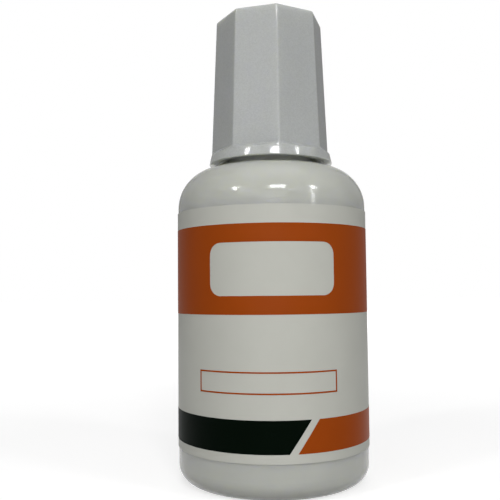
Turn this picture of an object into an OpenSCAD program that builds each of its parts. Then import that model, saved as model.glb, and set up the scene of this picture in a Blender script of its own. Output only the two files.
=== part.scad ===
// Correction fluid bottle with a screw cap that carries its brush.
// Millimetres, +Z up, the label's front faces -Y, origin at the centre of the base.

/* [Bottle] */
// Outer diameter of the straight wall
body_d = 29.8; // [26:0.2:36]
// Height at which the straight wall rounds into the shoulder
wall_top = 42.6; // [42:0.2:52]
// Radius of the shoulder
shoulder_r = 6.4; // [4:0.1:7]
// Slope of the crown between the shoulder and the neck, in degrees
crown_slope = 8; // [4:1:12]
// Wall thickness
wall = 1; // [0.7:0.05:1.2]
// Radius between the wall and the base
base_r = 2.9; // [2.4:0.1:4]
// Width of the flat ring that the bottle stands on
foot_w = 1.4; // [0.8:0.1:2.4]
// Depth of the hollow in the base
push_up = 1; // [0.6:0.1:1.6]
// Length of the seam in that hollow, where the mould pinched the tube shut
seam_len = 12; // [6:0.5:13]
// Width of the seam
seam_w = 0.4; // [0.2:0.05:0.8]
// Height of the seam
seam_h = 0.3; // [0.15:0.05:0.4]

/* [Neck] */
// Outer diameter of the neck, without its thread
neck_d = 13.4; // [12.4:0.1:14.4]
// Height of the neck above the crown
neck_h = 9; // [8:0.1:12]
// Bore of the neck
neck_bore = 10.2; // [9:0.1:10.6]
// Chamfer round the rim
rim_chamfer = 0.3; // [0.1:0.05:0.5]
// Fillet where the neck leaves the crown
neck_fillet = 0.6; // [0.3:0.05:0.7]

/* [Thread] */
// Rise in one turn
pitch = 3; // [2.4:0.1:3.4]
// Turns on the neck
neck_turns = 1.5; // [1.2:0.1:1.6]
// Turns in the cap
cap_turns = 0.95; // [0.6:0.05:1]
// Height of the neck's ridge
thread_depth = 0.6; // [0.4:0.05:0.8]
// Width of either ridge at its crest
crest_w = 0.7; // [0.5:0.05:0.8]
// How far the two ridges hook past each other
thread_hook = 0.3; // [0.2:0.05:0.4]
// Free play between the flanks that carry the load
thread_play = 0.15; // [0.1:0.05:0.3]
// Distance between the rim's chamfer and the end of the thread
thread_start = 0.3; // [0.2:0.05:0.6]
// Radial gap between the neck's crest and the cap's bore
crest_gap = 0.2; // [0.15:0.05:0.3]

/* [Label] */
// Height of the label's lower edge
label_z = 5.6; // [4.2:0.05:6.4]
// Height of the label
label_h = 36.1; // [34:0.1:36.9]
// Thickness of the film
label_t = 0.1; // [0.05:0.01:0.2]
// Angle over which the film laps over itself at the back
lap_deg = 14; // [6:1:24]
// Thickness of the ink
ink_t = 0.02; // [0.01:0.005:0.04]
// Lower edge of the narrow stripe, above the label's edge
stripe_up = 1.3; // [0.6:0.05:2]
// Height of the narrow stripe
stripe_h = 4.65; // [3:0.05:6]
// Lower edge of the broad band, above the label's edge
band_up = 20.5; // [14:0.05:20.9]
// Height of the broad band
band_h = 12.9; // [8:0.1:13.4]
// Angle right of the front at which the stripe changes colour
slant_at = 17; // [0:0.5:40]
// Lean of that change from the vertical, in degrees
slant_lean = 35; // [0:1:45]
// Width of the white gap between the two colours
slant_gap = 1; // [0.4:0.1:2]
// Width of the blank panel in the band
panel_w = 19; // [10:0.5:22]
// Height of the blank panel
panel_h = 7.6; // [4:0.2:9]
// Radius of the panel's corners
panel_r = 1.8; // [0.5:0.1:2]
// Lower edge of the thin frame, above the label's edge
frame_up = 9.45; // [7:0.05:10]
// Height of the thin frame
frame_h = 3.15; // [2:0.05:6]
// Width of the frame's line
frame_line = 0.23; // [0.15:0.01:0.5]
// Left end of the frame, in degrees right of the front
frame_left = -44.2; // [-60:0.1:-20]
// Right end of the frame, in degrees right of the front
frame_right = 37.3; // [20:0.1:60]

/* [Cap] */
// Height of the cap
cap_h = 23.6; // [22:0.1:30]
// Gap between the cap and the crown of the bottle
cap_gap = 0.4; // [0.3:0.05:1.5]
// Wall between the bore and the middle of a facet, at the skirt
cap_wall = 1.3; // [1.1:0.05:1.8]
// Draft of the facets, in degrees
cap_draft = 2.2; // [0:0.1:3]
// Turn of the facets about the axis, in degrees
cap_yaw = 8; // [0:0.5:45]
// Radius of the upright edges
edge_r = 0.5; // [0.3:0.05:1.2]
// Radius round the top
top_r = 0.5; // [0.3:0.05:1]
// Height of the round skirt
skirt_h = 1.5; // [1.2:0.1:3]
// How far the skirt stands out past the facets at its foot
skirt_out = 1.1; // [0.9:0.05:2]
// Draft of the skirt, in degrees
skirt_draft = 12; // [0:0.5:14]
// Bevel round the foot of the skirt
skirt_bevel = 0.2; // [0.1:0.05:0.3]
// How far the facets' sweep ends inside the skirt's upper edge
sweep_in = 0.1; // [0.05:0.01:0.2]
// Height over which the facets sweep out to the skirt
flare_h = 0.6; // [0.4:0.1:3]
// Wall of the skirt
skirt_wall = 1.3; // [0.9:0.05:1.6]
// Thickness of the cap's top
cap_top = 1.3; // [1:0.1:2]
// Width of the ledge that holds the seal
seat_w = 0.9; // [0.6:0.1:1.2]
// Thickness of the ribs between the socket and the wall
rib_t = 1; // [0.8:0.1:1.4]

/* [Seal and wiper] */
// Thickness of the seal washer
seal_t = 1; // [0.8:0.1:1.5]
// Gap round the seal washer, in the cap and round the brush
seal_gap = 0.35; // [0.2:0.05:0.4]
// Thickness of the wiper's rim and walls
wiper_t = 0.6; // [0.5:0.05:0.8]
// Depth of the wiper in the neck
wiper_h = 6; // [4:0.1:8]
// Hole that wipes the brush
wiper_hole = 4.4; // [4:0.1:5]

/* [Brush] */
// Diameter of the stem under the cap
stem_d = 3.4; // [3:0.1:3.8]
// Diameter of the stem at the bristles
stem_end_d = 3; // [2.8:0.1:3.4]
// Diameter of the stem's flange
flange_d = 7; // [6:0.1:7.4]
// Thickness of the stem's flange
flange_t = 0.9; // [0.7:0.05:1]
// Diameter of the plug that is pressed into the cap
plug_d = 3.8; // [3.4:0.1:4.2]
// Length of the plug
plug_h = 6; // [4:0.1:8]
// Bevel at the end of the plug
plug_bevel = 0.5; // [0.3:0.05:0.8]
// Room past the plug in the cap's socket
socket_room = 0.4; // [0.2:0.1:1]
// Wall of the cap's socket
socket_wall = 1; // [0.8:0.1:1.4]
// Length of the bristles below the stem
bristle_h = 13; // [9:0.1:16]
// Bore for the bristles in the stem
tuft_d = 2.3; // [1.8:0.05:2.4]
// Depth of that bore
tuft_root = 3; // [2.4:0.1:4]
// Room behind the bristles in that bore
tuft_room = 0.2; // [0.1:0.05:0.3]
// Length of the collar round that bore
collar_h = 2; // [1:0.1:3]
// How far the collar stands out from the stem
collar_out = 0.15; // [0.05:0.05:0.2]
// Bevel at the end of the collar
collar_bevel = 0.3; // [0.1:0.05:0.4]
// Widest diameter of the bristles
tuft_belly = 3.4; // [2.6:0.1:3.8]
// Diameter of the bristles' tip
tuft_tip = 1.5; // [1:0.1:2]
// Height of the bristles' tip above the middle of the floor
brush_clear = 6.4; // [5:0.1:9]
// Thickness of the anchor wire
anchor_t = 0.4; // [0.3:0.05:0.5]
// Height of the anchor wire
anchor_h = 1.6; // [1.2:0.1:2]
// Distance between the anchor wire and the end of the bore
anchor_back = 0.5; // [0.4:0.05:0.8]

/* [Mixing ball] */
// Diameter of the steel ball
ball_d = 4; // [3:0.1:4]
// Where the ball lies, in degrees right of the back
ball_at = 120; // [0:5:355]

/* [Hidden] */
$fn = 96;

// Gap of a press fit, drawn so that the two pieces just miss each other
fit = 0.02;
// How far a cut runs past the face that it opens
over = 1;
// How deep a shape that is joined to a wall starts inside it
sink = 0.25;

// Bottle
body_r = body_d / 2;
neck_r = neck_d / 2;
bore_r = neck_bore / 2;
arc_x = body_r - shoulder_r;
crown_z = crown_line(0, neck_r);
rim_z = crown_z + neck_h;
foot_in = body_r - base_r - foot_w;
dome_r = (foot_in * foot_in + push_up * push_up) / (2 * push_up);
floor_z = push_up + wall;

dome_fn = 360;

// Label
film_r = body_r + fit / 2;
lap_at = 45;
lap_bare = 0.5;

// Thread
flank = 0.5;
thread_step = 12;
run_in_steps = 3;
ridge_end = 0.05;
crest_r = neck_r + thread_depth;
cap_bore_r = crest_r + crest_gap;
cap_crest_r = crest_r - thread_hook;
neck_ridge_end = rim_z - rim_chamfer - crest_w / 2 - flank * thread_depth - thread_start;
neck_ridge_start = neck_ridge_end - pitch * neck_turns;
ridge_drop = crest_w + flank * thread_hook + thread_play;

// Seal, wiper and cap
wiper_top = rim_z + wiper_t;
seat_z = wiper_top + seal_t;
seal_r = cap_bore_r - seal_gap;
cap_z = crown_z + cap_gap;
cap_end = cap_z + cap_h;
skirt_z = cap_z + skirt_h;
facet_r = cap_bore_r + cap_wall;
skirt_foot_r = facet_r + skirt_out;
skirt_top_r = skirt_foot_r - skirt_h * tan(skirt_draft);
facets = 8;
facet_deg = 360 / facets;
corner_steps = 6;
flare_steps = 6;
top_steps = 4;
core_r = cap_bore_r - seat_w;
core_end = cap_end - cap_top;
relief_r = skirt_foot_r - skirt_wall;
relief_cone = relief_r - cap_bore_r;

// Brush
flange_z = seat_z - flange_t;
tip_z = floor_z + brush_clear;
stem_z = tip_z + bristle_h;
root_z = stem_z + tuft_root;
socket_r = plug_d / 2 + fit;
collar_z = stem_z + collar_bevel + collar_h;
collar_r = stem_end_d / 2 + collar_out;
anchor_z = root_z - anchor_h - anchor_back;
anchor_w = (tuft_d + stem_end_d) / 2;

// Mixing ball, on the middle of the ring that the bottle stands on
ball_x = body_r - base_r - foot_w / 2;

// Colours
bottle_white = [0.90, 0.90, 0.87];
label_white = [0.94, 0.94, 0.92];
label_orange = [0.83, 0.36, 0.10];
label_green = [0.03, 0.12, 0.07];
cap_pearl = [0.78, 0.79, 0.79];
stem_white = [0.88, 0.89, 0.88];
seal_white = [0.95, 0.95, 0.94];
bristle_white = [0.86, 0.85, 0.80];
steel = [0.62, 0.63, 0.65];

// Height of the crown at radius x, with the surface set inwards by inset
function crown_line(inset, x) =
    wall_top + (shoulder_r - inset) * cos(crown_slope)
    + (arc_x + (shoulder_r - inset) * sin(crown_slope) - x) * tan(crown_slope);

// Closed solid through rings of points. Each ring turns about the way to the next one.
module loft(rings) {
    n = len(rings[0]);
    last = (len(rings) - 1) * n;
    polyhedron(
        points = [for (ring = rings) each ring],
        faces = concat(
            [for (i = [1 : n - 2]) [0, i, i + 1]],
            [for (i = [1 : n - 2]) [last, last + i + 1, last + i]],
            [for (k = [0 : len(rings) - 2]) for (i = [0 : n - 1])
                [k * n + i, (k + 1) * n + i, (k + 1) * n + (i + 1) % n]],
            [for (k = [0 : len(rings) - 2]) for (i = [0 : n - 1])
                [k * n + i, (k + 1) * n + (i + 1) % n, k * n + (i + 1) % n]]
        )
    );
}

// Section of a ridge at one angle, from its inner side to its outer side
function ridge_ring(a, z, r_in, w_in, r_out, w_out) = [
    [r_in * cos(a), r_in * sin(a), z + w_in / 2],
    [r_out * cos(a), r_out * sin(a), z + w_out / 2],
    [r_out * cos(a), r_out * sin(a), z - w_out / 2],
    [r_in * cos(a), r_in * sin(a), z - w_in / 2]
];

// Height of a ridge at step i of n: it runs in and out at its two ends
function ridge_height(depth, i, n) =
    ridge_end + (depth + sink - ridge_end) * min(1, i / run_in_steps, (n - i) / run_in_steps);

// Ridge on the outside of a wall of radius r
module outer_ridge(r, depth, z, a0, turns) {
    n = ceil(360 * turns / thread_step);
    foot = r - sink;
    loft([for (i = [0 : n])
        let (a = a0 + 360 * turns * i / n, h = ridge_height(depth, i, n))
        ridge_ring(a, z + pitch * turns * i / n,
            foot, crest_w + 2 * flank * h, foot + h, crest_w)]);
}

// Ridge on the inside of a wall of radius r
module inner_ridge(r, depth, z, a0, turns) {
    n = ceil(360 * turns / thread_step);
    foot = r + sink;
    loft([for (i = [0 : n])
        let (a = a0 + 360 * turns * i / n, h = ridge_height(depth, i, n))
        ridge_ring(a, z + pitch * turns * i / n,
            foot - h, crest_w, foot, crest_w + 2 * flank * h)]);
}

// Half section of the bottle, with every surface set inwards by inset
module vessel(inset, neck, top) {
    r = body_r - inset;
    corner = base_r - inset;
    arc = shoulder_r - inset;
    translate([0, inset])
        square([r - corner, wall_top - inset]);
    translate([0, base_r])
        square([r, wall_top - base_r]);
    translate([r - corner, base_r])
        circle(r = corner);
    translate([arc_x, wall_top])
        circle(r = arc);
    polygon([
        [0, wall_top],
        [arc_x, wall_top],
        [arc_x + arc * sin(crown_slope), wall_top + arc * cos(crown_slope)],
        [neck, crown_line(inset, neck)],
        [0, crown_line(inset, neck)]
    ]);
    translate([0, wall_top])
        square([neck, top - wall_top]);
}

// Fillet between the crown and the neck
module neck_root() {
    x = neck_r + neck_fillet;
    z = crown_line(0, x) + neck_fillet / cos(crown_slope);
    difference() {
        translate([neck_r - sink, crown_z - wall / 2])
            square([neck_fillet + sink - neck_fillet * sin(crown_slope), z - crown_z + wall / 2]);
        translate([x, z])
            circle(r = neck_fillet);
    }
}

// Circle whose top is the hollow in the base
module dome(radius) {
    translate([0, push_up - dome_r])
        circle(r = radius, $fn = dome_fn);
}

// Straight seam across the hollow in the base
module pinch_seam() {
    floor_up = push_up / 4;
    intersection() {
        rotate_extrude()
            intersection() {
                difference() {
                    dome(dome_r + wall / 2);
                    dome(dome_r - seam_h);
                }
                translate([0, floor_up])
                    square([seam_len / 2, push_up + wall]);
            }
        translate([-seam_len, -seam_w / 2, 0])
            cube([2 * seam_len, seam_w, push_up + wall]);
    }
}

module bottle() {
    color(bottle_white) {
        rotate_extrude()
            difference() {
                union() {
                    vessel(0, neck_r, rim_z);
                    neck_root();
                }
                difference() {
                    vessel(wall, bore_r, rim_z + over);
                    dome(dome_r + wall);
                }
                dome(dome_r);
                polygon([
                    [neck_r - rim_chamfer, rim_z],
                    [neck_r + over, rim_z - rim_chamfer - over],
                    [neck_r + over, rim_z]
                ]);
            }
        outer_ridge(neck_r, thread_depth, neck_ridge_start, 0, neck_turns);
        pinch_seam();
    }
}

// Film wrapped round the bottle, with its lap at the back
module film() {
    translate([0, 0, label_z])
        difference() {
            cylinder(r = film_r + label_t, h = label_h);
            translate([0, 0, -over])
                cylinder(r = film_r, h = label_h + 2 * over);
        }
    rotate([0, 0, lap_at])
        rotate_extrude(angle = lap_deg)
            translate([film_r + label_t / 2, label_z])
                square([1.5 * label_t, label_h]);
}

// Layer of ink all round the film between two heights, printed on its lap too
module ink(z0, z1) {
    rotate_extrude()
        translate([film_r + label_t / 2, z0])
            square([label_t / 2 + ink_t, z1 - z0]);
    rotate([0, 0, lap_at + lap_bare])
        rotate_extrude(angle = lap_deg - 2 * lap_bare)
            translate([film_r + label_t, z0])
                square([label_t + ink_t, z1 - z0]);
}

// Part of a ring of ink between two angles right of the front and two heights
module ink_patch(a0, a1, z0, z1, more) {
    rotate([0, 0, a0 - 90])
        rotate_extrude(angle = a1 - a0)
            translate([film_r + label_t / 2 - more, z0])
                square([label_t / 2 + ink_t + 2 * more, z1 - z0]);
}

// Thin frame with nothing in it
module ink_frame() {
    turn = frame_line / film_r * 180 / PI;
    z0 = label_z + frame_up;
    z1 = z0 + frame_h;
    difference() {
        ink_patch(frame_left, frame_right, z0, z1, 0);
        ink_patch(frame_left + turn, frame_right - turn, z0 + frame_line, z1 - frame_line, over / 2);
    }
}

// Blank panel with round corners, cut through the front of the band
module panel() {
    x = panel_w / 2 - panel_r;
    z = panel_h / 2 - panel_r;
    translate([0, 0, label_z + band_up + band_h / 2])
        rotate([90, 0, 0])
            linear_extrude(body_d) {
                square([2 * x, panel_h], center = true);
                square([panel_w, 2 * z], center = true);
                for (i = [-1, 1], k = [-1, 1])
                    translate([i * x, k * z])
                        circle(r = panel_r);
            }
}

// Block on one side of the slanted line at the front of the stripe
module slant_side(side) {
    size = 2 * body_d;
    rotate([0, 0, slant_at])
        translate([0, 0, label_z + stripe_up + stripe_h / 2])
            rotate([0, slant_lean, 0])
                translate([side > 0 ? slant_gap / 2 : -size - slant_gap / 2, -size / 2, -size / 2])
                    cube([size, size, size]);
}

module stripe() {
    ink(label_z + stripe_up, label_z + stripe_up + stripe_h);
}

module label() {
    color(label_white)
        film();
    color(label_orange)
        difference() {
            ink(label_z + band_up, label_z + band_up + band_h);
            panel();
        }
    color(label_orange)
        ink_frame();
    color(label_green)
        intersection() {
            stripe();
            slant_side(-1);
        }
    color(label_orange)
        intersection() {
            stripe();
            slant_side(1);
        }
}

// Wiper: a rim on the neck, a tube pressed into its bore, and a funnel with a lip at the hole
module wiper() {
    outer = bore_r - fit;
    inner = outer - wiper_t;
    hole = wiper_hole / 2;
    funnel_z = -wiper_h + (inner - hole);
    color(stem_white)
        translate([0, 0, rim_z])
            rotate_extrude()
                polygon([
                    [inner, wiper_t],
                    [neck_r - rim_chamfer, wiper_t],
                    [neck_r - rim_chamfer, 0],
                    [outer, 0],
                    [outer, funnel_z],
                    [hole + wiper_t, -wiper_h],
                    [hole, -wiper_h],
                    [hole, -wiper_h + wiper_t],
                    [inner, funnel_z + wiper_t]
                ]);
}

module mixing_ball() {
    r = ball_d / 2;
    color(steel)
        rotate([0, 0, 90 - ball_at])
            translate([ball_x, 0, wall + r + fit])
                sphere(r = r);
}

// Octagon with round corners: a is the distance to a facet, r the radius of a corner
function cap_ring(a, r, z) = [
    for (k = [0 : facets - 1]) for (i = [0 : corner_steps])
        let (v = cap_yaw - 90 + facet_deg * k,
             t = v + facet_deg * (i / corner_steps - 0.5),
             c = (a - r) / cos(facet_deg / 2))
        [c * cos(v) + r * cos(t), c * sin(v) + r * sin(t), z]
];

// Distance from the axis to a facet at height z
function facet_at(z) = facet_r - (z - skirt_z) * tan(cap_draft);

// Facets from the skirt to the top: a sweep out at the foot and a rounded edge at the top
module cap_facets() {
    reach = skirt_top_r - sweep_in;
    flare = reach - facet_r;
    round_z = cap_end - top_r;
    loft(concat(
        [cap_ring(reach - sweep_in, reach - edge_r, skirt_z - skirt_h / 4)],
        [for (i = [0 : flare_steps])
            let (t = i / flare_steps, z = skirt_z + flare_h * t, grow = (1 - t) * (1 - t))
            cap_ring(facet_at(z) + flare * grow, edge_r + (facet_r - edge_r) * grow, z)],
        [for (i = [0 : top_steps])
            let (t = 90 * i / top_steps, z = round_z + top_r * sin(t))
            cap_ring(facet_at(z) - top_r * (1 - cos(t)), edge_r, z)]
    ));
}

// Round skirt with a bevel round its foot
module cap_skirt() {
    bevel_r = skirt_foot_r - skirt_bevel * tan(skirt_draft);
    translate([0, 0, cap_z])
        cylinder(r1 = skirt_foot_r - skirt_bevel, r2 = bevel_r, h = skirt_bevel);
    translate([0, 0, cap_z + skirt_bevel])
        cylinder(r1 = bevel_r, r2 = skirt_top_r, h = skirt_h - skirt_bevel);
}

// Hollow of the cap: relief, bore for the thread, seal ledge and core
module cap_hollow() {
    rotate_extrude()
        polygon([
            [0, cap_z - over],
            [relief_r, cap_z - over],
            [relief_r, skirt_z - relief_cone],
            [cap_bore_r, skirt_z],
            [cap_bore_r, seat_z],
            [core_r, seat_z],
            [core_r - (core_end - seat_z) * tan(cap_draft), core_end],
            [0, core_end]
        ]);
}

// Socket for the brush and the ribs that hold it
module cap_socket() {
    h = cap_end - seat_z - cap_top / 2;
    translate([0, 0, seat_z]) {
        cylinder(r = socket_r + socket_wall, h = h);
        for (a = [0, 90])
            rotate([0, 0, a + cap_yaw])
                translate([-facet_r, -rib_t / 2, 0])
                    cube([2 * facet_r, rib_t, h]);
    }
}

module cap() {
    color(cap_pearl) {
        difference() {
            union() {
                cap_facets();
                cap_skirt();
            }
            difference() {
                cap_hollow();
                cap_socket();
            }
            translate([0, 0, seat_z - over])
                cylinder(r = socket_r, h = over + plug_h + socket_room);
        }
        inner_ridge(cap_bore_r, cap_bore_r - cap_crest_r,
            neck_ridge_end - ridge_drop - pitch * cap_turns,
            360 * (neck_turns - cap_turns), cap_turns);
    }
}

module seal_washer() {
    color(seal_white)
        translate([0, 0, wiper_top])
            difference() {
                cylinder(r = seal_r, h = seal_t);
                translate([0, 0, -over])
                    cylinder(r = flange_d / 2 + seal_gap, h = seal_t + 2 * over);
            }
}

// Wire that holds the folded bristles, grown by gap on every side
module anchor(gap) {
    translate([-anchor_w / 2 - gap, -anchor_t / 2 - gap, anchor_z - gap])
        cube([anchor_w + 2 * gap, anchor_t + 2 * gap, anchor_h + 2 * gap]);
}

module brush_stem() {
    color(stem_white)
        difference() {
            union() {
                translate([0, 0, stem_z])
                    cylinder(r1 = collar_r - collar_bevel, r2 = collar_r, h = collar_bevel);
                translate([0, 0, stem_z + collar_bevel])
                    cylinder(r = collar_r, h = collar_h);
                translate([0, 0, collar_z])
                    cylinder(r1 = stem_end_d / 2, r2 = stem_d / 2, h = flange_z - collar_z);
                translate([0, 0, flange_z])
                    cylinder(r = flange_d / 2, h = flange_t);
                translate([0, 0, seat_z])
                    cylinder(r = plug_d / 2, h = plug_h - plug_bevel);
                translate([0, 0, seat_z + plug_h - plug_bevel])
                    cylinder(r1 = plug_d / 2, r2 = plug_d / 2 - plug_bevel, h = plug_bevel);
            }
            translate([0, 0, stem_z - over])
                cylinder(r = tuft_d / 2 + fit, h = tuft_root + over);
            anchor(fit);
        }
}

// Radius of the bristles at height t, from 0 at the stem to 1 at the tip
function tuft_r(t) =
    let (belly = tuft_belly / 2, root = tuft_d / 2, tip = tuft_tip / 2,
         peak = 0.55, swell = 1.2, taper = 0.8)
    t < peak
        ? root + (belly - root) * pow(sin(90 * t / peak), swell)
        : tip + (belly - tip) * pow(cos(90 * (t - peak) / (1 - peak)), taper);

module bristle_tuft() {
    rings = 16;
    top_z = root_z - tuft_room;
    color(bristle_white)
        difference() {
            rotate_extrude()
                polygon(concat(
                    [[0, tip_z]],
                    [for (i = [rings : -1 : 0]) [tuft_r(i / rings), stem_z - bristle_h * i / rings]],
                    [[tuft_d / 2, top_z], [0, top_z]]
                ));
            anchor(fit);
        }
}

module anchor_wire() {
    color(steel)
        anchor(0);
}

bottle();
label();
wiper();
mixing_ball();
seal_washer();
cap();
brush_stem();
bristle_tuft();
anchor_wire();
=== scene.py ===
"""Looks of a correction fluid bottle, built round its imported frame. Metres, +Z up, the front faces -Y."""
import math
import random

import bmesh
import bpy
from mathutils import Matrix, Vector


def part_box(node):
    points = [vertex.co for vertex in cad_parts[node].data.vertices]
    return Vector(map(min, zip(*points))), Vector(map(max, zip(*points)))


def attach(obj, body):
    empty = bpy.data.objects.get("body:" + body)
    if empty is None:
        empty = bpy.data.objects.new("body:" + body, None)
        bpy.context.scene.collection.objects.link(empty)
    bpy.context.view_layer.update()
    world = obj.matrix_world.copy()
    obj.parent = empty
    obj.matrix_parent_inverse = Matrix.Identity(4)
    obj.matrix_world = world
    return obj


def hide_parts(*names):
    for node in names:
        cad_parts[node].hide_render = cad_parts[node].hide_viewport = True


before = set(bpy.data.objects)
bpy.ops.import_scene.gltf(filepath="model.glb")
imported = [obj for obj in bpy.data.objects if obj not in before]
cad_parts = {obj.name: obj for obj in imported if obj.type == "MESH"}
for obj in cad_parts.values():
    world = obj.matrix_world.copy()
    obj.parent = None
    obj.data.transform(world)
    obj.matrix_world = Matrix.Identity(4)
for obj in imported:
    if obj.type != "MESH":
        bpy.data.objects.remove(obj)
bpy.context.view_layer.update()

MM = 0.001

# Sizes read from the frame
BODY_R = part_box("bottle")[1].x
RIM_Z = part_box("bottle")[1].z
LABEL_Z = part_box("label")[0].z
LABEL_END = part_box("label")[1].z
CAP_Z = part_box("cap")[0].z
CAP_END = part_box("cap")[1].z
SEAT_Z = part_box("seal_washer")[1].z
STEM_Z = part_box("brush_stem")[0].z
TUFT_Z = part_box("bristle_tuft")[0].z

# Label film and its lap at the back, where it climbs over itself, with angles in degrees right of the front
FILM_T = 0.1 * MM
FILM_GAP = 0.01 * MM
FILM_R = BODY_R + FILM_GAP
FACE_R = FILM_R + FILM_T
LAP_START = 135.0
LAP_DEG = 14.0
LAP_RAMP = 4.0
WRAP_STEP = 1.5

# Print on the label: a band with a blank panel, a stripe in two colours and a thin frame
INK_T = 0.02 * MM
INK_SUNK = INK_T / 2
BARE_EDGE_DEG = 0.5
BAND_UP = 20.5 * MM
BAND_H = 12.9 * MM
PANEL_W = 19.0 * MM
PANEL_H = 7.6 * MM
PANEL_R = 1.8 * MM
PANEL_CORNER_STEPS = 8
STRIPE_UP = 1.3 * MM
STRIPE_H = 4.65 * MM
SLANT_AT = 17.0
SLANT_LEAN = math.radians(35)
SLANT_GAP = 1.0 * MM
FRAME_UP = 9.45 * MM
FRAME_H = 3.15 * MM
FRAME_LINE = 0.23 * MM
FRAME_LEFT = -44.2
FRAME_RIGHT = 37.3

# Cap: drafted facets that sweep out into a round skirt, SWEEP_IN short of its edge. The yaw is in degrees.
FACETS = 8
CAP_YAW = 8.0
FACET_R = 8.8 * MM
CAP_DRAFT = math.radians(2.2)
EDGE_R = 0.5 * MM
TOP_R = 0.5 * MM
FLARE_H = 0.6 * MM
SWEEP_IN = 0.1 * MM
SKIRT_H = 1.5 * MM
SKIRT_FOOT_R = 9.9 * MM
SKIRT_DRAFT = math.radians(12)
SKIRT_EDGE_R = 0.08 * MM
SKIRT_BEVEL = 0.2 * MM
SKIRT_Z = CAP_Z + SKIRT_H
SKIRT_TOP_R = SKIRT_FOOT_R - SKIRT_H * math.tan(SKIRT_DRAFT)

# Inside of the cap
SKIRT_WALL = 1.3 * MM
CAP_BORE_R = 7.5 * MM
SEAT_W = 0.9 * MM
CORE_R = CAP_BORE_R - SEAT_W
CAP_TOP = 1.3 * MM
CORE_END = CAP_END - CAP_TOP
SOCKET_R = 1.92 * MM
SOCKET_WALL = 1.0 * MM
SOCKET_DEPTH = 6.4 * MM
RIB_T = 1.0 * MM
JOIN_OVERLAP = 0.3 * MM
CUT_CLEAR = 1.0 * MM

# Steps of the cap's curves, and how far down the skirt's side its rings lie
CORNER_STEPS = 16
TOP_STEPS = 8
FACET_SPANS = 6
SWEEP_STEPS = 14
SKIRT_EDGE_STEPS = 3
SKIRT_SIDE_SHARES = (0.35, 0.7, 1.0)
SOCKET_SIDES = 64

# Thread inside the cap. RIDGE_TOP is how far below the rim it ends, SINK how deep its foot lies in the wall,
# and FLANK how much it widens at each side for a unit of height.
PITCH = 3.0 * MM
NECK_TURNS = 1.5
CAP_TURNS = 0.95
RIDGE_TOP = 2.25 * MM
CREST_R = 7.0 * MM
CREST_W = 0.7 * MM
FLANK = 0.5
SINK = 0.25 * MM
RIDGE_END_H = 0.05 * MM
RIDGE_STEP_DEG = 6
RUN_IN_STEPS = 8

# Bundle of bristles, with places along it from 0 at the stem to 1 at its tip. TUFT_IN lies in the stem.
TUFT_ROOT_R = 1.08 * MM
TUFT_BELLY_R = 1.6 * MM
TUFT_TIP_R = 0.62 * MM
TUFT_BELLY_AT = 0.55
SWELL_POWER = 1.2
CLOSE_POWER = 0.8
TUFT_IN = 0.8 * MM

# Single bristles, with angles in radians. The outer ones are shorter by up to OUTER_SHORT.
STRANDS = 170
STRAND_SEED = 11
STRAND_RINGS = 14
STRAND_SIDES = 5
STRAND_R = 0.075 * MM
STRAND_TURN = math.pi * (3 - math.sqrt(5))
TURN_PLAY = 0.1
SWIRL = 0.25
WANDER = 0.05 * MM
WANDER_WAVE = 6
OUTER_SHORT = 0.10
END_PLAY = 0.03
TAPER = 0.55
TAPER_FROM = 0.7
TAPER_POWER = 1.5

# Distances below which points count as one
WELD = 1e-7
CUT_SNAP = 1e-8

# Colours of the finishes, each as its darker and its lighter shade
BOTTLE_WHITE = ((0.553, 0.567, 0.507), (0.603, 0.617, 0.557))
FILM_WHITE = ((0.60, 0.603, 0.545), (0.645, 0.648, 0.59))
INK_ORANGE = ((0.350, 0.060, 0.0045), (0.390, 0.070, 0.0058))
INK_GREEN = ((0.0004, 0.0022, 0.0008), (0.0008, 0.0034, 0.0014))
PEARL_GREY = ((0.49, 0.506, 0.497), (0.535, 0.551, 0.542))
FLAKE_GLINT = ((0.94, 0.94, 0.94), (1.05, 1.05, 1.05))
WIPER_WHITE = ((0.62, 0.63, 0.60), (0.68, 0.69, 0.66))
STEM_WHITE = ((0.64, 0.65, 0.64), (0.70, 0.71, 0.70))
FOAM_WHITE = ((0.66, 0.66, 0.63), (0.74, 0.74, 0.71))
BRIGHT_STEEL = ((0.52, 0.53, 0.55), (0.66, 0.67, 0.69))
NYLON_WHITE = ((0.52, 0.50, 0.42), (0.72, 0.70, 0.62))

# Light of the studio and the point that its lamps face
AIM = Vector((0, 0, 0.042))
AMBIENT = 0.05
AMBIENT_TINT = (0.97, 0.99, 1.0, 1)
WHITE = (1, 1, 1, 1)

# Floor: its grey as it throws light back and as it is seen, and its glow at two distances from its middle
FLOOR_R = 2.5
FLOOR_SIDES = 96
FLOOR_GREY = ((0.08, 0.08, 0.08), (0.62, 0.62, 0.62))
FLOOR_GLOW = (0.66, 1.0)
FLOOR_GLOW_AT = (0.06, 0.35)

# Nets behind the object
NET_W = 0.35
NET_H = 0.70
NET_AWAY = 0.30
NET_BLACK = (0.03, 0.03, 0.03, 1)


# Helpers for meshes

def mesh_object(name, bm):
    """Object made of the bmesh, with its normals recalculated. The bmesh is used up."""
    bmesh.ops.recalc_face_normals(bm, faces=bm.faces)
    mesh = bpy.data.meshes.new(name)
    bm.to_mesh(mesh)
    bm.free()
    obj = bpy.data.objects.new(name, mesh)
    bpy.context.scene.collection.objects.link(obj)
    return obj


def smooth(obj, angle):
    """Smooth shading, with edges sharp where they turn by more than the angle in degrees."""
    obj.data.shade_smooth()
    obj.data.set_sharp_from_angle(angle=math.radians(angle))


def apply_modifiers(obj):
    """Replaces the object's mesh by the one that its modifiers make."""
    graph = bpy.context.evaluated_depsgraph_get()
    mesh = bpy.data.meshes.new_from_object(obj.evaluated_get(graph))
    obj.modifiers.clear()
    obj.data = mesh


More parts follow.
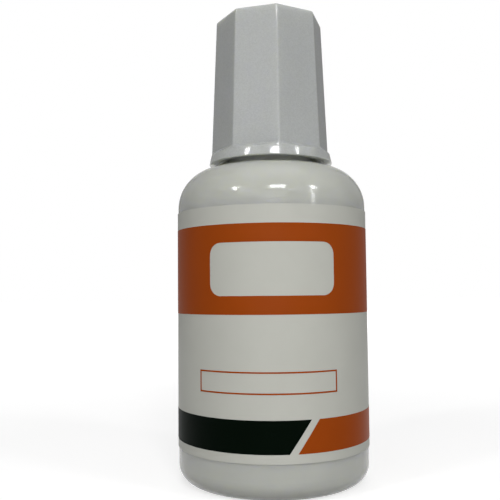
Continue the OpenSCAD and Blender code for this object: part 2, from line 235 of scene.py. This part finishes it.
def combine(obj, bm, operation):
    """Boolean of the object with a closed bmesh. The bmesh is used up."""
    tool = mesh_object("tool", bm)
    step = obj.modifiers.new(operation, "BOOLEAN")
    step.operation = operation
    step.solver = "EXACT"
    step.object = tool
    apply_modifiers(obj)
    bpy.data.objects.remove(tool)


def weigh_normals(obj):
    """Keeps flat faces flat beside their rounded edges."""
    step = obj.modifiers.new("weighted", "WEIGHTED_NORMAL")
    step.keep_sharp = True
    step.weight = 100
    apply_modifiers(obj)


def shell_of_rings(rings, top, bottom):
    """Closed bmesh through rings of points, with a centre point at each end."""
    bm = bmesh.new()
    rows = [[bm.verts.new(p) for p in ring] for ring in rings]
    ends = [bm.verts.new(top), bm.verts.new(bottom)]
    n = len(rows[0])
    for i in range(n):
        j = (i + 1) % n
        bm.faces.new((ends[0], rows[0][i], rows[0][j]))
        bm.faces.new((ends[1], rows[-1][j], rows[-1][i]))
        for a, b in zip(rows, rows[1:]):
            bm.faces.new((a[i], b[i], b[j], a[j]))
    bmesh.ops.remove_doubles(bm, verts=bm.verts, dist=WELD)
    return bm


def skin(bm, rows):
    """Faces of a closed bar through rows of points, with one face at each end."""
    n = len(rows[0])
    for a, b in zip(rows, rows[1:]):
        for i in range(n):
            j = (i + 1) % n
            bm.faces.new((a[i], a[j], b[j], b[i]))
    bm.faces.new(rows[0])
    bm.faces.new(rows[-1])


def cylinder(radius, z0, z1):
    """Closed cylinder on the axis, from one height to another."""
    bm = bmesh.new()
    bmesh.ops.create_cone(
        bm, cap_ends=True, segments=SOCKET_SIDES, radius1=radius, radius2=radius, depth=z1 - z0)
    bmesh.ops.translate(bm, verts=bm.verts, vec=(0, 0, (z0 + z1) / 2))
    return bm


# Cap

def cap_ring(flat, corner, z):
    """Octagon with round corners: flat is the distance to a facet, corner the radius of a corner."""
    ring = []
    middle_r = (flat - corner) / math.cos(math.pi / FACETS)
    for k in range(FACETS):
        middle = math.radians(CAP_YAW - 90 + 360 / FACETS * k)
        for i in range(CORNER_STEPS + 1):
            t = middle + 2 * math.pi / FACETS * (i / CORNER_STEPS - 0.5)
            x = middle_r * math.cos(middle) + corner * math.cos(t)
            y = middle_r * math.sin(middle) + corner * math.sin(t)
            ring.append((x, y, z))
    return ring


def facet_at(z):
    """Distance of the drafted facets from the axis at a height."""
    return FACET_R - (z - SKIRT_Z) * math.tan(CAP_DRAFT)


def facet_rings():
    """Rings from the cap's rounded upper edge down its facets."""
    rings = []
    edge_z = CAP_END - TOP_R
    for i in range(TOP_STEPS + 1):
        t = math.pi / 2 * (1 - i / TOP_STEPS)
        z = edge_z + TOP_R * math.sin(t)
        rings.append(cap_ring(facet_at(z) - TOP_R * (1 - math.cos(t)), EDGE_R, z))
    for i in range(1, FACET_SPANS):
        z = edge_z + (SKIRT_Z + FLARE_H - edge_z) * i / FACET_SPANS
        rings.append(cap_ring(facet_at(z), EDGE_R, z))
    return rings


def sweep_rings():
    """Rings of the sweep, in which the octagon grows out into the round skirt."""
    rings = []
    for i in range(SWEEP_STEPS + 1):
        up = 1 - i / SWEEP_STEPS
        z = SKIRT_Z + FLARE_H * up
        grow = (1 - up) ** 2
        flat = facet_at(z) + (SKIRT_TOP_R - SWEEP_IN - FACET_R) * grow
        rings.append(cap_ring(flat, EDGE_R + (FACET_R - EDGE_R) * grow, z))
    return rings


def skirt_rings():
    """Rings of the skirt: its small upper round, its drafted side and the bevel at its foot."""
    profile = []
    quarter = [math.pi / 2 * i / SKIRT_EDGE_STEPS for i in range(SKIRT_EDGE_STEPS + 1)]
    for t in quarter:
        r = SKIRT_TOP_R - SKIRT_EDGE_R * (1 - math.sin(t))
        profile.append((r, SKIRT_Z - SKIRT_EDGE_R * (1 - math.cos(t))))
    side_top = SKIRT_Z - SKIRT_EDGE_R
    side_foot = CAP_Z + SKIRT_BEVEL
    for share in SKIRT_SIDE_SHARES:
        z = side_top + (side_foot - side_top) * share
        profile.append((SKIRT_FOOT_R - (z - CAP_Z) * math.tan(SKIRT_DRAFT), z))
    for t in quarter[1:]:
        r = SKIRT_FOOT_R - SKIRT_BEVEL * (1 - math.cos(t))
        profile.append((r, CAP_Z + SKIRT_BEVEL * (1 - math.sin(t))))
    return [cap_ring(r, r, z) for r, z in profile]


def inside_rings():
    """Rings from the skirt's foot up the relief in it, the bore, the seal's ledge and the core."""
    relief_r = SKIRT_FOOT_R - SKIRT_WALL
    core_end_r = CORE_R - (CORE_END - SEAT_Z) * math.tan(CAP_DRAFT)
    profile = [
        (relief_r, CAP_Z), (relief_r, SKIRT_Z - relief_r + CAP_BORE_R), (CAP_BORE_R, SKIRT_Z),
        (CAP_BORE_R, SEAT_Z), (CORE_R, SEAT_Z), (core_end_r, CORE_END),
    ]
    return [cap_ring(r, r, z) for r, z in profile]


def cap_rib(turn):
    """Rib across the core, turned by an angle in degrees."""
    length = 2 * (CORE_R + JOIN_OVERLAP)
    height = CORE_END + JOIN_OVERLAP - SEAT_Z
    place = (Matrix.Translation((0, 0, SEAT_Z + height / 2))
             @ Matrix.Rotation(math.radians(turn + CAP_YAW), 4, "Z")
             @ Matrix.Diagonal((length, RIB_T, height, 1)))
    bm = bmesh.new()
    bmesh.ops.create_cube(bm, size=1, matrix=place)
    return bm


def cap_thread():
    """Ridge inside the cap, thinning out at both ends, as a closed helix."""
    steps = round(360 * CAP_TURNS / RIDGE_STEP_DEG)
    start = math.radians(360 * (NECK_TURNS - CAP_TURNS))
    z0 = RIM_Z - RIDGE_TOP - PITCH * CAP_TURNS
    foot = CAP_BORE_R + SINK
    bm = bmesh.new()
    rows = []
    for i in range(steps + 1):
        rise = min(1, i / RUN_IN_STEPS, (steps - i) / RUN_IN_STEPS)
        h = RIDGE_END_H + (foot - CREST_R - RIDGE_END_H) * rise
        a = start + 2 * math.pi * CAP_TURNS * i / steps
        z = z0 + PITCH * CAP_TURNS * i / steps
        wide = CREST_W + 2 * FLANK * h
        section = [(foot - h, CREST_W), (foot, wide), (foot, -wide), (foot - h, -CREST_W)]
        rows.append([bm.verts.new((r * math.cos(a), r * math.sin(a), z + w / 2)) for r, w in section])
    skin(bm, rows)
    return bm


def make_cap():
    """The cap as one moulding: its shell with the brush socket, crossed ribs and thread inside."""
    rings = facet_rings() + sweep_rings() + skirt_rings() + inside_rings()
    cap = mesh_object("cap_shell", shell_of_rings(rings, (0, 0, CAP_END), (0, 0, CORE_END)))
    combine(cap, cylinder(SOCKET_R + SOCKET_WALL, SEAT_Z, CORE_END + JOIN_OVERLAP), "UNION")
    for turn in (0, 90):
        combine(cap, cap_rib(turn), "UNION")
    combine(cap, cylinder(SOCKET_R, SEAT_Z - CUT_CLEAR, SEAT_Z + SOCKET_DEPTH), "DIFFERENCE")
    combine(cap, cap_thread(), "UNION")
    smooth(cap, angle=32)
    weigh_normals(cap)
    return cap


# Label

def film_radius(degrees):
    """Inner radius of the film at an angle right of the front: it climbs over itself at the lap."""
    t = min(1, max(0, (degrees - LAP_START + LAP_RAMP) / LAP_RAMP))
    return FILM_R + FILM_T * t * t * (3 - 2 * t)


def along(degrees):
    """Way round the label's face to an angle right of the front."""
    return math.radians(degrees) * FACE_R


def wrap(bm, lift):
    """Bends a flat bmesh round the bottle: x is the way round, y and lift the height over the inner face."""
    for v in bm.verts:
        angle = v.co.x / FACE_R
        r = film_radius(math.degrees(angle)) + lift + v.co.y
        v.co = Vector((r * math.sin(angle), -r * math.cos(angle), v.co.z))


def cut_upright(bm):
    """Cuts a flat bmesh upright at even steps, so that it can bend."""
    step = along(WRAP_STEP)
    end = max(v.co.x for v in bm.verts)
    x = math.ceil(min(v.co.x for v in bm.verts) / step) * step
    while x < end:
        geometry = bm.verts[:] + bm.edges[:] + bm.faces[:]
        bmesh.ops.bisect_plane(bm, geom=geometry, dist=CUT_SNAP, plane_co=(x, 0, 0), plane_no=(1, 0, 0))
        x += step


def patch(name, loops, lift, thickness):
    """Thin closed piece on the label. The first loop of (x, z) points is its outline, others are holes."""
    bm = bmesh.new()
    edges = []
    for loop in loops:
        verts = [bm.verts.new((x, 0, z)) for x, z in loop]
        edges += [bm.edges.new((a, b)) for a, b in zip(verts, verts[1:] + verts[:1])]
    bmesh.ops.triangle_fill(bm, edges=edges, use_beauty=True, use_dissolve=True)
    cut_upright(bm)
    made = bmesh.ops.extrude_face_region(bm, geom=bm.faces[:])
    verts = [g for g in made["geom"] if isinstance(g, bmesh.types.BMVert)]
    bmesh.ops.translate(bm, verts=verts, vec=(0, thickness, 0))
    wrap(bm, lift)
    obj = mesh_object(name, bm)
    smooth(obj, angle=30)
    return obj


def ink_field(name, *loops):
    """Field of print, which stands on the film by the ink's thickness and starts a little inside it."""
    return patch(name, loops, FILM_T - INK_SUNK, INK_SUNK + INK_T)


def rectangle(x0, x1, z0, z1):
    """Outline of a rectangle."""
    return [(x0, z0), (x1, z0), (x1, z1), (x0, z1)]


def rounded(x, z, width, height, radius):
    """Outline of a rectangle with round corners, centred on (x, z)."""
    points = []
    for k, (sx, sz) in enumerate([(1, -1), (1, 1), (-1, 1), (-1, -1)]):
        cx = x + sx * (width / 2 - radius)
        cz = z + sz * (height / 2 - radius)
        for i in range(PANEL_CORNER_STEPS + 1):
            t = math.radians(-90 + 90 * k + 90 * i / PANEL_CORNER_STEPS)
            points.append((cx + radius * math.cos(t), cz + radius * math.sin(t)))
    return points


def make_band(left, right):
    """Orange band, with the panel left blank in it."""
    z0 = LABEL_Z + BAND_UP
    panel = rounded(0, z0 + BAND_H / 2, PANEL_W, PANEL_H, PANEL_R)
    return ink_field("label_band", rectangle(left, right, z0, z0 + BAND_H), panel)


def make_stripe(left, right):
    """Dark and bright field of the stripe, with a slanted gap between them."""
    z0 = LABEL_Z + STRIPE_UP
    z1 = z0 + STRIPE_H
    foot = along(SLANT_AT) - STRIPE_H / 2 * math.tan(SLANT_LEAN)
    head = along(SLANT_AT) + STRIPE_H / 2 * math.tan(SLANT_LEAN)
    gap = SLANT_GAP / 2 / math.cos(SLANT_LEAN)
    dark = ink_field("label_stripe_dark", [(left, z0), (foot - gap, z0), (head - gap, z1), (left, z1)])
    bright = ink_field("label_stripe_bright", [(foot + gap, z0), (right, z0), (right, z1), (head + gap, z1)])
    return dark, bright


def make_thin_frame():
    """Thin empty frame below the band."""
    x0 = along(FRAME_LEFT)
    x1 = along(FRAME_RIGHT)
    z0 = LABEL_Z + FRAME_UP
    z1 = z0 + FRAME_H
    inner = rectangle(x0 + FRAME_LINE, x1 - FRAME_LINE, z0 + FRAME_LINE, z1 - FRAME_LINE)
    return ink_field("label_frame", rectangle(x0, x1, z0, z1), inner)


def make_label():
    """The film, the orange fields of its print and the dark one."""
    left = along(LAP_START - 360)
    right = along(LAP_START + LAP_DEG)
    bare = along(BARE_EDGE_DEG)
    film = patch("label_film", [rectangle(left, right, LABEL_Z, LABEL_END)], 0, FILM_T)
    band = make_band(left + bare, right - bare)
    dark, bright = make_stripe(left + bare, right - bare)
    return film, [band, bright, make_thin_frame()], dark


# Brush

def tuft_radius(t):
    """Radius of the bundle of bristles at a place along it. Inside the stem, below 0, it stays the same."""
    if t < 0:
        return TUFT_ROOT_R
    if t < TUFT_BELLY_AT:
        swell = math.sin(math.pi / 2 * t / TUFT_BELLY_AT) ** SWELL_POWER
        return TUFT_ROOT_R + (TUFT_BELLY_R - TUFT_ROOT_R) * swell
    close = math.cos(math.pi / 2 * (t - TUFT_BELLY_AT) / (1 - TUFT_BELLY_AT)) ** CLOSE_POWER
    return TUFT_TIP_R + (TUFT_BELLY_R - TUFT_TIP_R) * close


def strand_ring(bm, centre, radius):
    """Level ring of points round a bristle."""
    ring = []
    for j in range(STRAND_SIDES):
        t = 2 * math.pi * j / STRAND_SIDES
        ring.append(bm.verts.new(centre + Vector((radius * math.cos(t), radius * math.sin(t), 0))))
    return ring


def make_bristles():
    """Bundle of single bristles, each a thin tapered tube with a slight wander."""
    rng = random.Random(STRAND_SEED)
    bm = bmesh.new()
    length = STEM_Z - TUFT_Z
    root = -TUFT_IN / length
    for k in range(STRANDS):
        share = math.sqrt((k + 0.5) / STRANDS)
        angle = k * STRAND_TURN + rng.uniform(-TURN_PLAY, TURN_PLAY)
        end = 1 - rng.uniform(0, OUTER_SHORT) * share - rng.uniform(0, END_PLAY)
        swirl = rng.uniform(-SWIRL, SWIRL)
        wander = rng.uniform(0, WANDER)
        phase = rng.uniform(0, 2 * math.pi)
        rows = []
        for i in range(STRAND_RINGS):
            s = i / (STRAND_RINGS - 1)
            t = root + (end - root) * s
            thick = STRAND_R * (1 - TAPER * max(0, (s - TAPER_FROM) / (1 - TAPER_FROM)) ** TAPER_POWER)
            r = max(0, share * tuft_radius(t) - thick + wander * math.sin(WANDER_WAVE * s + phase))
            a = angle + swirl * max(0, t) ** 2
            centre = Vector((r * math.cos(a), r * math.sin(a), STEM_Z - t * length))
            rows.append(strand_ring(bm, centre, thick))
        skin(bm, rows)
    obj = mesh_object("bristles", bm)
    smooth(obj, angle=80)
    return obj


# Helpers for materials

def add(tree, kind, **values):
    """New node with its properties and inputs set by name, an input's spaces written as underscores."""
    node = tree.nodes.new(kind)
    for key, value in values.items():
        if hasattr(node, key):
            setattr(node, key, value)
        else:
            node.inputs[key.replace("_", " ")].default_value = value
    return node


def mapped(tree, source, low, high, start=0.0, end=1.0):
    """Value of the socket, taken from start..end to low..high."""
    node = add(tree, "ShaderNodeMapRange", From_Min=start, From_Max=end, To_Min=low, To_Max=high)
    tree.links.new(source, node.inputs["Value"])
    return node.outputs["Result"]


def noise(tree, scale, detail, stretch=(1, 1, 1)):
    """Noise in object coordinates. The scale is in waves per metre."""
    place = add(tree, "ShaderNodeTexCoord")
    stretched = add(tree, "ShaderNodeMapping", Scale=stretch)
    node = add(tree, "ShaderNodeTexNoise", Scale=scale, Detail=detail)
    tree.links.new(place.outputs["Object"], stretched.inputs["Vector"])
    tree.links.new(stretched.outputs["Vector"], node.inputs["Vector"])
    return node.outputs["Fac"]


def cells(tree, scale, output):
    """Small cells in object coordinates: their random Color, or the Distance from their middles."""
    place = add(tree, "ShaderNodeTexCoord")
    node = add(tree, "ShaderNodeTexVoronoi", Scale=scale)
    tree.links.new(place.outputs["Object"], node.inputs["Vector"])
    return node.outputs[output]


def shade(tree, factor, shades):
    """Colour between a darker and a lighter shade, by the factor."""
    dark, light = shades
    node = add(tree, "ShaderNodeMix", data_type="RGBA", A=(*dark, 1), B=(*light, 1))
    tree.links.new(factor, node.inputs["Factor"])
    return node.outputs["Result"]


def bump(tree, heights):
    """Normal from several heights: a list of (socket, strength, distance)."""
    normal = None
    for height, strength, distance in heights:
        node = add(tree, "ShaderNodeBump", Strength=strength, Distance=distance)
        tree.links.new(height, node.inputs["Height"])
        if normal is not None:
            tree.links.new(normal, node.inputs["Normal"])
        normal = node.outputs["Normal"]
    return normal


def new_material(name):
    """New material, its node tree and its Principled shader."""
    mat = bpy.data.materials.new(name)
    mat.use_nodes = True
    return mat, mat.node_tree, mat.node_tree.nodes["Principled BSDF"]


def cover(tree, shader, colour, roughness, heights):
    """Gives the shader its colour, its roughness and the relief of the heights."""
    tree.links.new(colour, shader.inputs["Base Color"])
    tree.links.new(roughness, shader.inputs["Roughness"])
    tree.links.new(bump(tree, heights), shader.inputs["Normal"])


def make_milky(shader, weight, radius):
    """Lets light spread under the surface, by a radius for each of red, green and blue."""
    shader.inputs["Subsurface Weight"].default_value = weight
    shader.inputs["Subsurface Radius"].default_value = radius
    shader.inputs["Subsurface Scale"].default_value = 1.0


def dress(obj, mat):
    """Gives the object one material."""
    obj.data.materials.clear()
    obj.data.materials.append(mat)


# Materials

def bottle_plastic():
    """Glossy blown polyethylene: milky, with a soft orange peel and slow waves."""
    mat, tree, shader = new_material("bottle_plastic_finish")
    slow = noise(tree, scale=140, detail=2)
    fine = noise(tree, scale=1600, detail=3)
    heights = [(slow, 0.15, 0.3 * MM), (fine, 0.06, 0.03 * MM)]
    cover(tree, shader, shade(tree, slow, BOTTLE_WHITE), mapped(tree, fine, low=0.10, high=0.18), heights)
    shader.inputs["IOR"].default_value = 1.5
    make_milky(shader, weight=0.9, radius=(3 * MM, 3 * MM, 2.2 * MM))
    return mat


def printed(name, shades, low, high, specular):
    """Satin film or the ink on it, with a fine grain and a roughness from low to high."""
    mat, tree, shader = new_material(name)
    slow = noise(tree, scale=220, detail=3)
    fine = noise(tree, scale=5200, detail=2)
    heights = [(slow, 0.12, 0.3 * MM), (fine, 0.12, 0.02 * MM)]
    cover(tree, shader, shade(tree, slow, shades), mapped(tree, fine, low, high), heights)
    shader.inputs["Specular IOR Level"].default_value = specular
    return mat


def cap_plastic():
    """Pearl grey moulding: tiny flakes that each catch the light a little differently."""
    mat, tree, shader = new_material("cap_plastic_finish")
    slow = noise(tree, scale=160, detail=3)
    fine = noise(tree, scale=2600, detail=2)
    flake = add(tree, "ShaderNodeSeparateColor")
    tree.links.new(cells(tree, scale=6500, output="Color"), flake.inputs["Color"])
    pearl = add(tree, "ShaderNodeMix", data_type="RGBA", blend_type="MULTIPLY", Factor=1.0)
    tree.links.new(shade(tree, slow, PEARL_GREY), pearl.inputs["A"])
    tree.links.new(shade(tree, flake.outputs["Red"], FLAKE_GLINT), pearl.inputs["B"])
    roughness = mapped(tree, flake.outputs["Green"], low=0.07, high=0.13)
    heights = [(slow, 0.12, 0.2 * MM), (fine, 0.05, 0.02 * MM), (flake.outputs["Blue"], 0.04, 0.01 * MM)]
    cover(tree, shader, pearl.outputs["Result"], roughness, heights)
    make_milky(shader, weight=0.9, radius=(3 * MM, 3 * MM, 2.4 * MM))
    return mat


def plain_moulding(name, shades, low, high):
    """Natural or white moulding with a soft skin and a roughness from low to high."""
    mat, tree, shader = new_material(name)
    slow = noise(tree, scale=300, detail=2)
    fine = noise(tree, scale=2400, detail=3)
    heights = [(slow, 0.2, 0.3 * MM), (fine, 0.1, 0.05 * MM)]
    cover(tree, shader, shade(tree, slow, shades), mapped(tree, fine, low, high), heights)
    make_milky(shader, weight=0.15, radius=(1 * MM, 1 * MM, 1 * MM))
    return mat


def foam():
    """Foamed sheet with fine closed cells, smoother on the walls between them."""
    mat, tree, shader = new_material("seal_foam_finish")
    cell = cells(tree, scale=4200, output="Distance")
    colour = shade(tree, noise(tree, scale=600, detail=2), FOAM_WHITE)
    cover(tree, shader, colour, mapped(tree, cell, low=0.7, high=0.5), [(cell, 0.6, 0.08 * MM)])
    return mat


def steel():
    """Bright steel with fine turning marks."""
    mat, tree, shader = new_material("steel_finish")
    marks = noise(tree, scale=2600, detail=4, stretch=(1, 1, 5))
    roughness = mapped(tree, marks, low=0.16, high=0.32)
    cover(tree, shader, shade(tree, marks, BRIGHT_STEEL), roughness, [(marks, 0.15, 0.03 * MM)])
    shader.inputs["Metallic"].default_value = 1.0
    return mat


def nylon():
    """Milky bristles with fine streaks along them."""
    mat, tree, shader = new_material("bristle_finish")
    streak = noise(tree, scale=3000, detail=3, stretch=(1, 1, 0.15))
    roughness = mapped(tree, streak, low=0.28, high=0.45)
    cover(tree, shader, shade(tree, streak, NYLON_WHITE), roughness, [(streak, 0.2, 0.02 * MM)])
    make_milky(shader, weight=0.3, radius=(0.6 * MM, 0.6 * MM, 0.5 * MM))
    return mat


# Pieces

def place_label():
    """The label film with its print, for the label's solid."""
    film, orange, dark = make_label()
    dress(film, printed("film_white", FILM_WHITE, low=0.38, high=0.50, specular=0.20))
    orange_ink = printed("ink_orange", INK_ORANGE, low=0.36, high=0.46, specular=0.06)
    for piece in orange:
        dress(piece, orange_ink)
    dress(dark, printed("ink_green", INK_GREEN, low=0.36, high=0.46, specular=0.02))
    for piece in [film, *orange, dark]:
        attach(piece, "bottle")
        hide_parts("label")


def place_cap():
    """The moulded cap, for the cap's solid."""
    cap = make_cap()
    dress(cap, cap_plastic())
    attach(cap, "cap")
    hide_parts("cap")


def place_bristles():
    """The single bristles, for the solid of their bundle."""
    bristles = make_bristles()
    dress(bristles, nylon())
    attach(bristles, "cap")
    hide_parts("bristle_tuft")


def dress_solids():
    """Finishes of the CAD solids that are shown as they are."""
    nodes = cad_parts
    dress(nodes["bottle"], bottle_plastic())
    dress(nodes["wiper"], plain_moulding("natural_plastic_finish", WIPER_WHITE, low=0.25, high=0.40))
    dress(nodes["brush_stem"], plain_moulding("stem_plastic_finish", STEM_WHITE, low=0.20, high=0.34))
    dress(nodes["seal_washer"], foam())
    bright = steel()
    dress(nodes["mixing_ball"], bright)
    dress(nodes["anchor_wire"], bright)


# Stage, light and camera

def seen_directly(tree):
    """1 for rays of the camera, of reflections and of glass, 0 for the light that falls on the object."""
    path = add(tree, "ShaderNodeLightPath")
    seen = path.outputs["Is Camera Ray"]
    for ray in ("Is Glossy Ray", "Is Transmission Ray"):
        either = add(tree, "ShaderNodeMath", operation="MAXIMUM")
        tree.links.new(seen, either.inputs[0])
        tree.links.new(path.outputs[ray], either.inputs[1])
        seen = either.outputs["Value"]
    return seen


def make_world():
    """World that is seen as white and gives a little light from all round."""
    world = bpy.data.worlds.new("studio")
    bpy.context.scene.world = world
    world.use_nodes = True
    tree = world.node_tree
    tree.nodes.clear()
    light = add(tree, "ShaderNodeBackground", Color=AMBIENT_TINT, Strength=AMBIENT)
    shown = add(tree, "ShaderNodeBackground", Color=WHITE, Strength=1.0)
    mix = add(tree, "ShaderNodeMixShader")
    out = add(tree, "ShaderNodeOutputWorld")
    tree.links.new(seen_directly(tree), mix.inputs[0])
    tree.links.new(light.outputs[0], mix.inputs[1])
    tree.links.new(shown.outputs[0], mix.inputs[2])
    tree.links.new(mix.outputs[0], out.inputs["Surface"])


def floor_white():
    """Floor that looks pale but throws little light back. Its glow lifts it to white away from the object."""
    mat = bpy.data.materials.new("floor_white")
    mat.use_nodes = True
    tree = mat.node_tree
    tree.nodes.clear()
    seen = seen_directly(tree)
    diffuse = add(tree, "ShaderNodeBsdfDiffuse")
    tree.links.new(shade(tree, seen, FLOOR_GREY), diffuse.inputs["Color"])

    place = add(tree, "ShaderNodeTexCoord")
    away = add(tree, "ShaderNodeVectorMath", operation="LENGTH")
    tree.links.new(place.outputs["Object"], away.inputs[0])
    strength = add(tree, "ShaderNodeMath", operation="MULTIPLY")
    tree.links.new(mapped(tree, away.outputs["Value"], *FLOOR_GLOW, *FLOOR_GLOW_AT), strength.inputs[0])
    tree.links.new(seen, strength.inputs[1])
    glow = add(tree, "ShaderNodeEmission", Color=WHITE)
    tree.links.new(strength.outputs["Value"], glow.inputs["Strength"])

    both = add(tree, "ShaderNodeAddShader")
    out = add(tree, "ShaderNodeOutputMaterial")
    tree.links.new(diffuse.outputs[0], both.inputs[0])
    tree.links.new(glow.outputs[0], both.inputs[1])
    tree.links.new(both.outputs[0], out.inputs["Surface"])
    return mat


def make_floor():
    """Round floor that the bottle stands on."""
    bm = bmesh.new()
    bmesh.ops.create_circle(bm, cap_ends=True, segments=FLOOR_SIDES, radius=FLOOR_R)
    floor = mesh_object("floor", bm)
    dress(floor, floor_white())


def direction(azimuth, elevation=0):
    """Direction from the object, by degrees right of the camera and degrees up."""
    a = math.radians(azimuth)
    e = math.radians(elevation)
    return Vector((math.sin(a) * math.cos(e), -math.cos(a) * math.cos(e), math.sin(e)))


def lamp(name, azimuth, elevation, size, radiance, distance=0.60, mirrored=True):
    """Soft rectangular lamp of a width and height. Radiance is how bright its mirror image would be."""
    width, height = size
    data = bpy.data.lights.new(name, "AREA")
    data.shape = "RECTANGLE"
    data.size = width
    data.size_y = height
    data.energy = radiance * math.pi * width * height
    obj = bpy.data.objects.new(name, data)
    back = direction(azimuth, elevation)
    obj.location = AIM + back * distance
    obj.rotation_mode = "QUATERNION"
    obj.rotation_quaternion = back.to_track_quat("Z", "Y")
    obj.visible_glossy = mirrored
    bpy.context.scene.collection.objects.link(obj)


def net(name, azimuth, density):
    """Dark net behind the object at one side, so that its edges mirror less of the white there."""
    back = direction(azimuth)
    place = (Matrix.Translation(back * NET_AWAY + Vector((0, 0, NET_H / 2)))
             @ back.to_track_quat("Z", "Y").to_matrix().to_4x4()
             @ Matrix.Diagonal((NET_W, NET_H, 1, 1)))
    bm = bmesh.new()
    bmesh.ops.create_grid(bm, x_segments=1, y_segments=1, size=0.5, matrix=place)
    obj = mesh_object(name, bm)
    mat, _, shader = new_material(name + "_cloth")
    shader.inputs["Base Color"].default_value = NET_BLACK
    shader.inputs["Roughness"].default_value = 1.0
    shader.inputs["Alpha"].default_value = density
    dress(obj, mat)
    obj.visible_camera = False


def make_studio():
    """White surroundings, three small lamps and a strip for the highlights, and soft light for the rest."""
    make_world()
    make_floor()
    lamp("lamp_left", azimuth=-47, elevation=33, size=(0.07, 0.08), radiance=27)
    lamp("lamp_middle", azimuth=9, elevation=36, size=(0.16, 0.07), radiance=26)
    lamp("lamp_right", azimuth=56, elevation=32, size=(0.055, 0.08), radiance=25)
    lamp("strip_right", azimuth=51, elevation=15, size=(0.018, 0.24), radiance=15)
    lamp("soft_near", azimuth=0, elevation=-6, size=(0.16, 0.036), radiance=5.0, distance=0.20,
         mirrored=False)
    lamp("soft_front", azimuth=4, elevation=12, size=(0.40, 0.34), radiance=1.1, distance=0.90)
    lamp("soft_left", azimuth=-29, elevation=27, size=(0.34, 0.30), radiance=1.2, distance=0.90)
    lamp("soft_top", azimuth=0, elevation=80, size=(0.50, 0.50), radiance=0.6)
    lamp("soft_back", azimuth=180, elevation=22, size=(0.56, 0.50), radiance=3.0, distance=0.90,
         mirrored=False)
    net("net_left", azimuth=-129, density=0.5)
    net("net_right", azimuth=129, density=0.5)
    net("net_back", azimuth=180, density=0.4)


def make_camera():
    """Camera of the photograph: close by, below the middle of the bottle and tilted up a little."""
    frame_px = 500
    focal_px = 696.6
    distance = 112.2 * MM
    height = 29.3 * MM
    pitch = math.radians(3.45)
    yaw = math.radians(-1.77)
    roll = math.radians(-0.54)
    ahead = Vector((math.sin(yaw), math.cos(yaw), 0))
    right = Vector((math.cos(yaw), -math.sin(yaw), 0))
    forward = ahead * math.cos(pitch) + Vector((0, 0, math.sin(pitch)))
    up = Vector((0, 0, math.cos(pitch))) - ahead * math.sin(pitch)
    x = right * math.cos(roll) + up * math.sin(roll)
    y = up * math.cos(roll) - right * math.sin(roll)
    turn = Matrix((x, y, -forward)).transposed().to_4x4()
    data = bpy.data.cameras.new("camera")
    data.sensor_width = 36
    data.lens = focal_px / frame_px * data.sensor_width
    data.clip_start = 0.005
    data.clip_end = 20
    obj = bpy.data.objects.new("camera", data)
    obj.matrix_world = Matrix.Translation((0, -distance, height)) @ turn
    bpy.context.scene.collection.objects.link(obj)
    bpy.context.scene.camera = obj


bpy.context.scene.view_settings.view_transform = "Standard"
make_camera()
place_label()
place_cap()
place_bristles()
dress_solids()
make_studio()
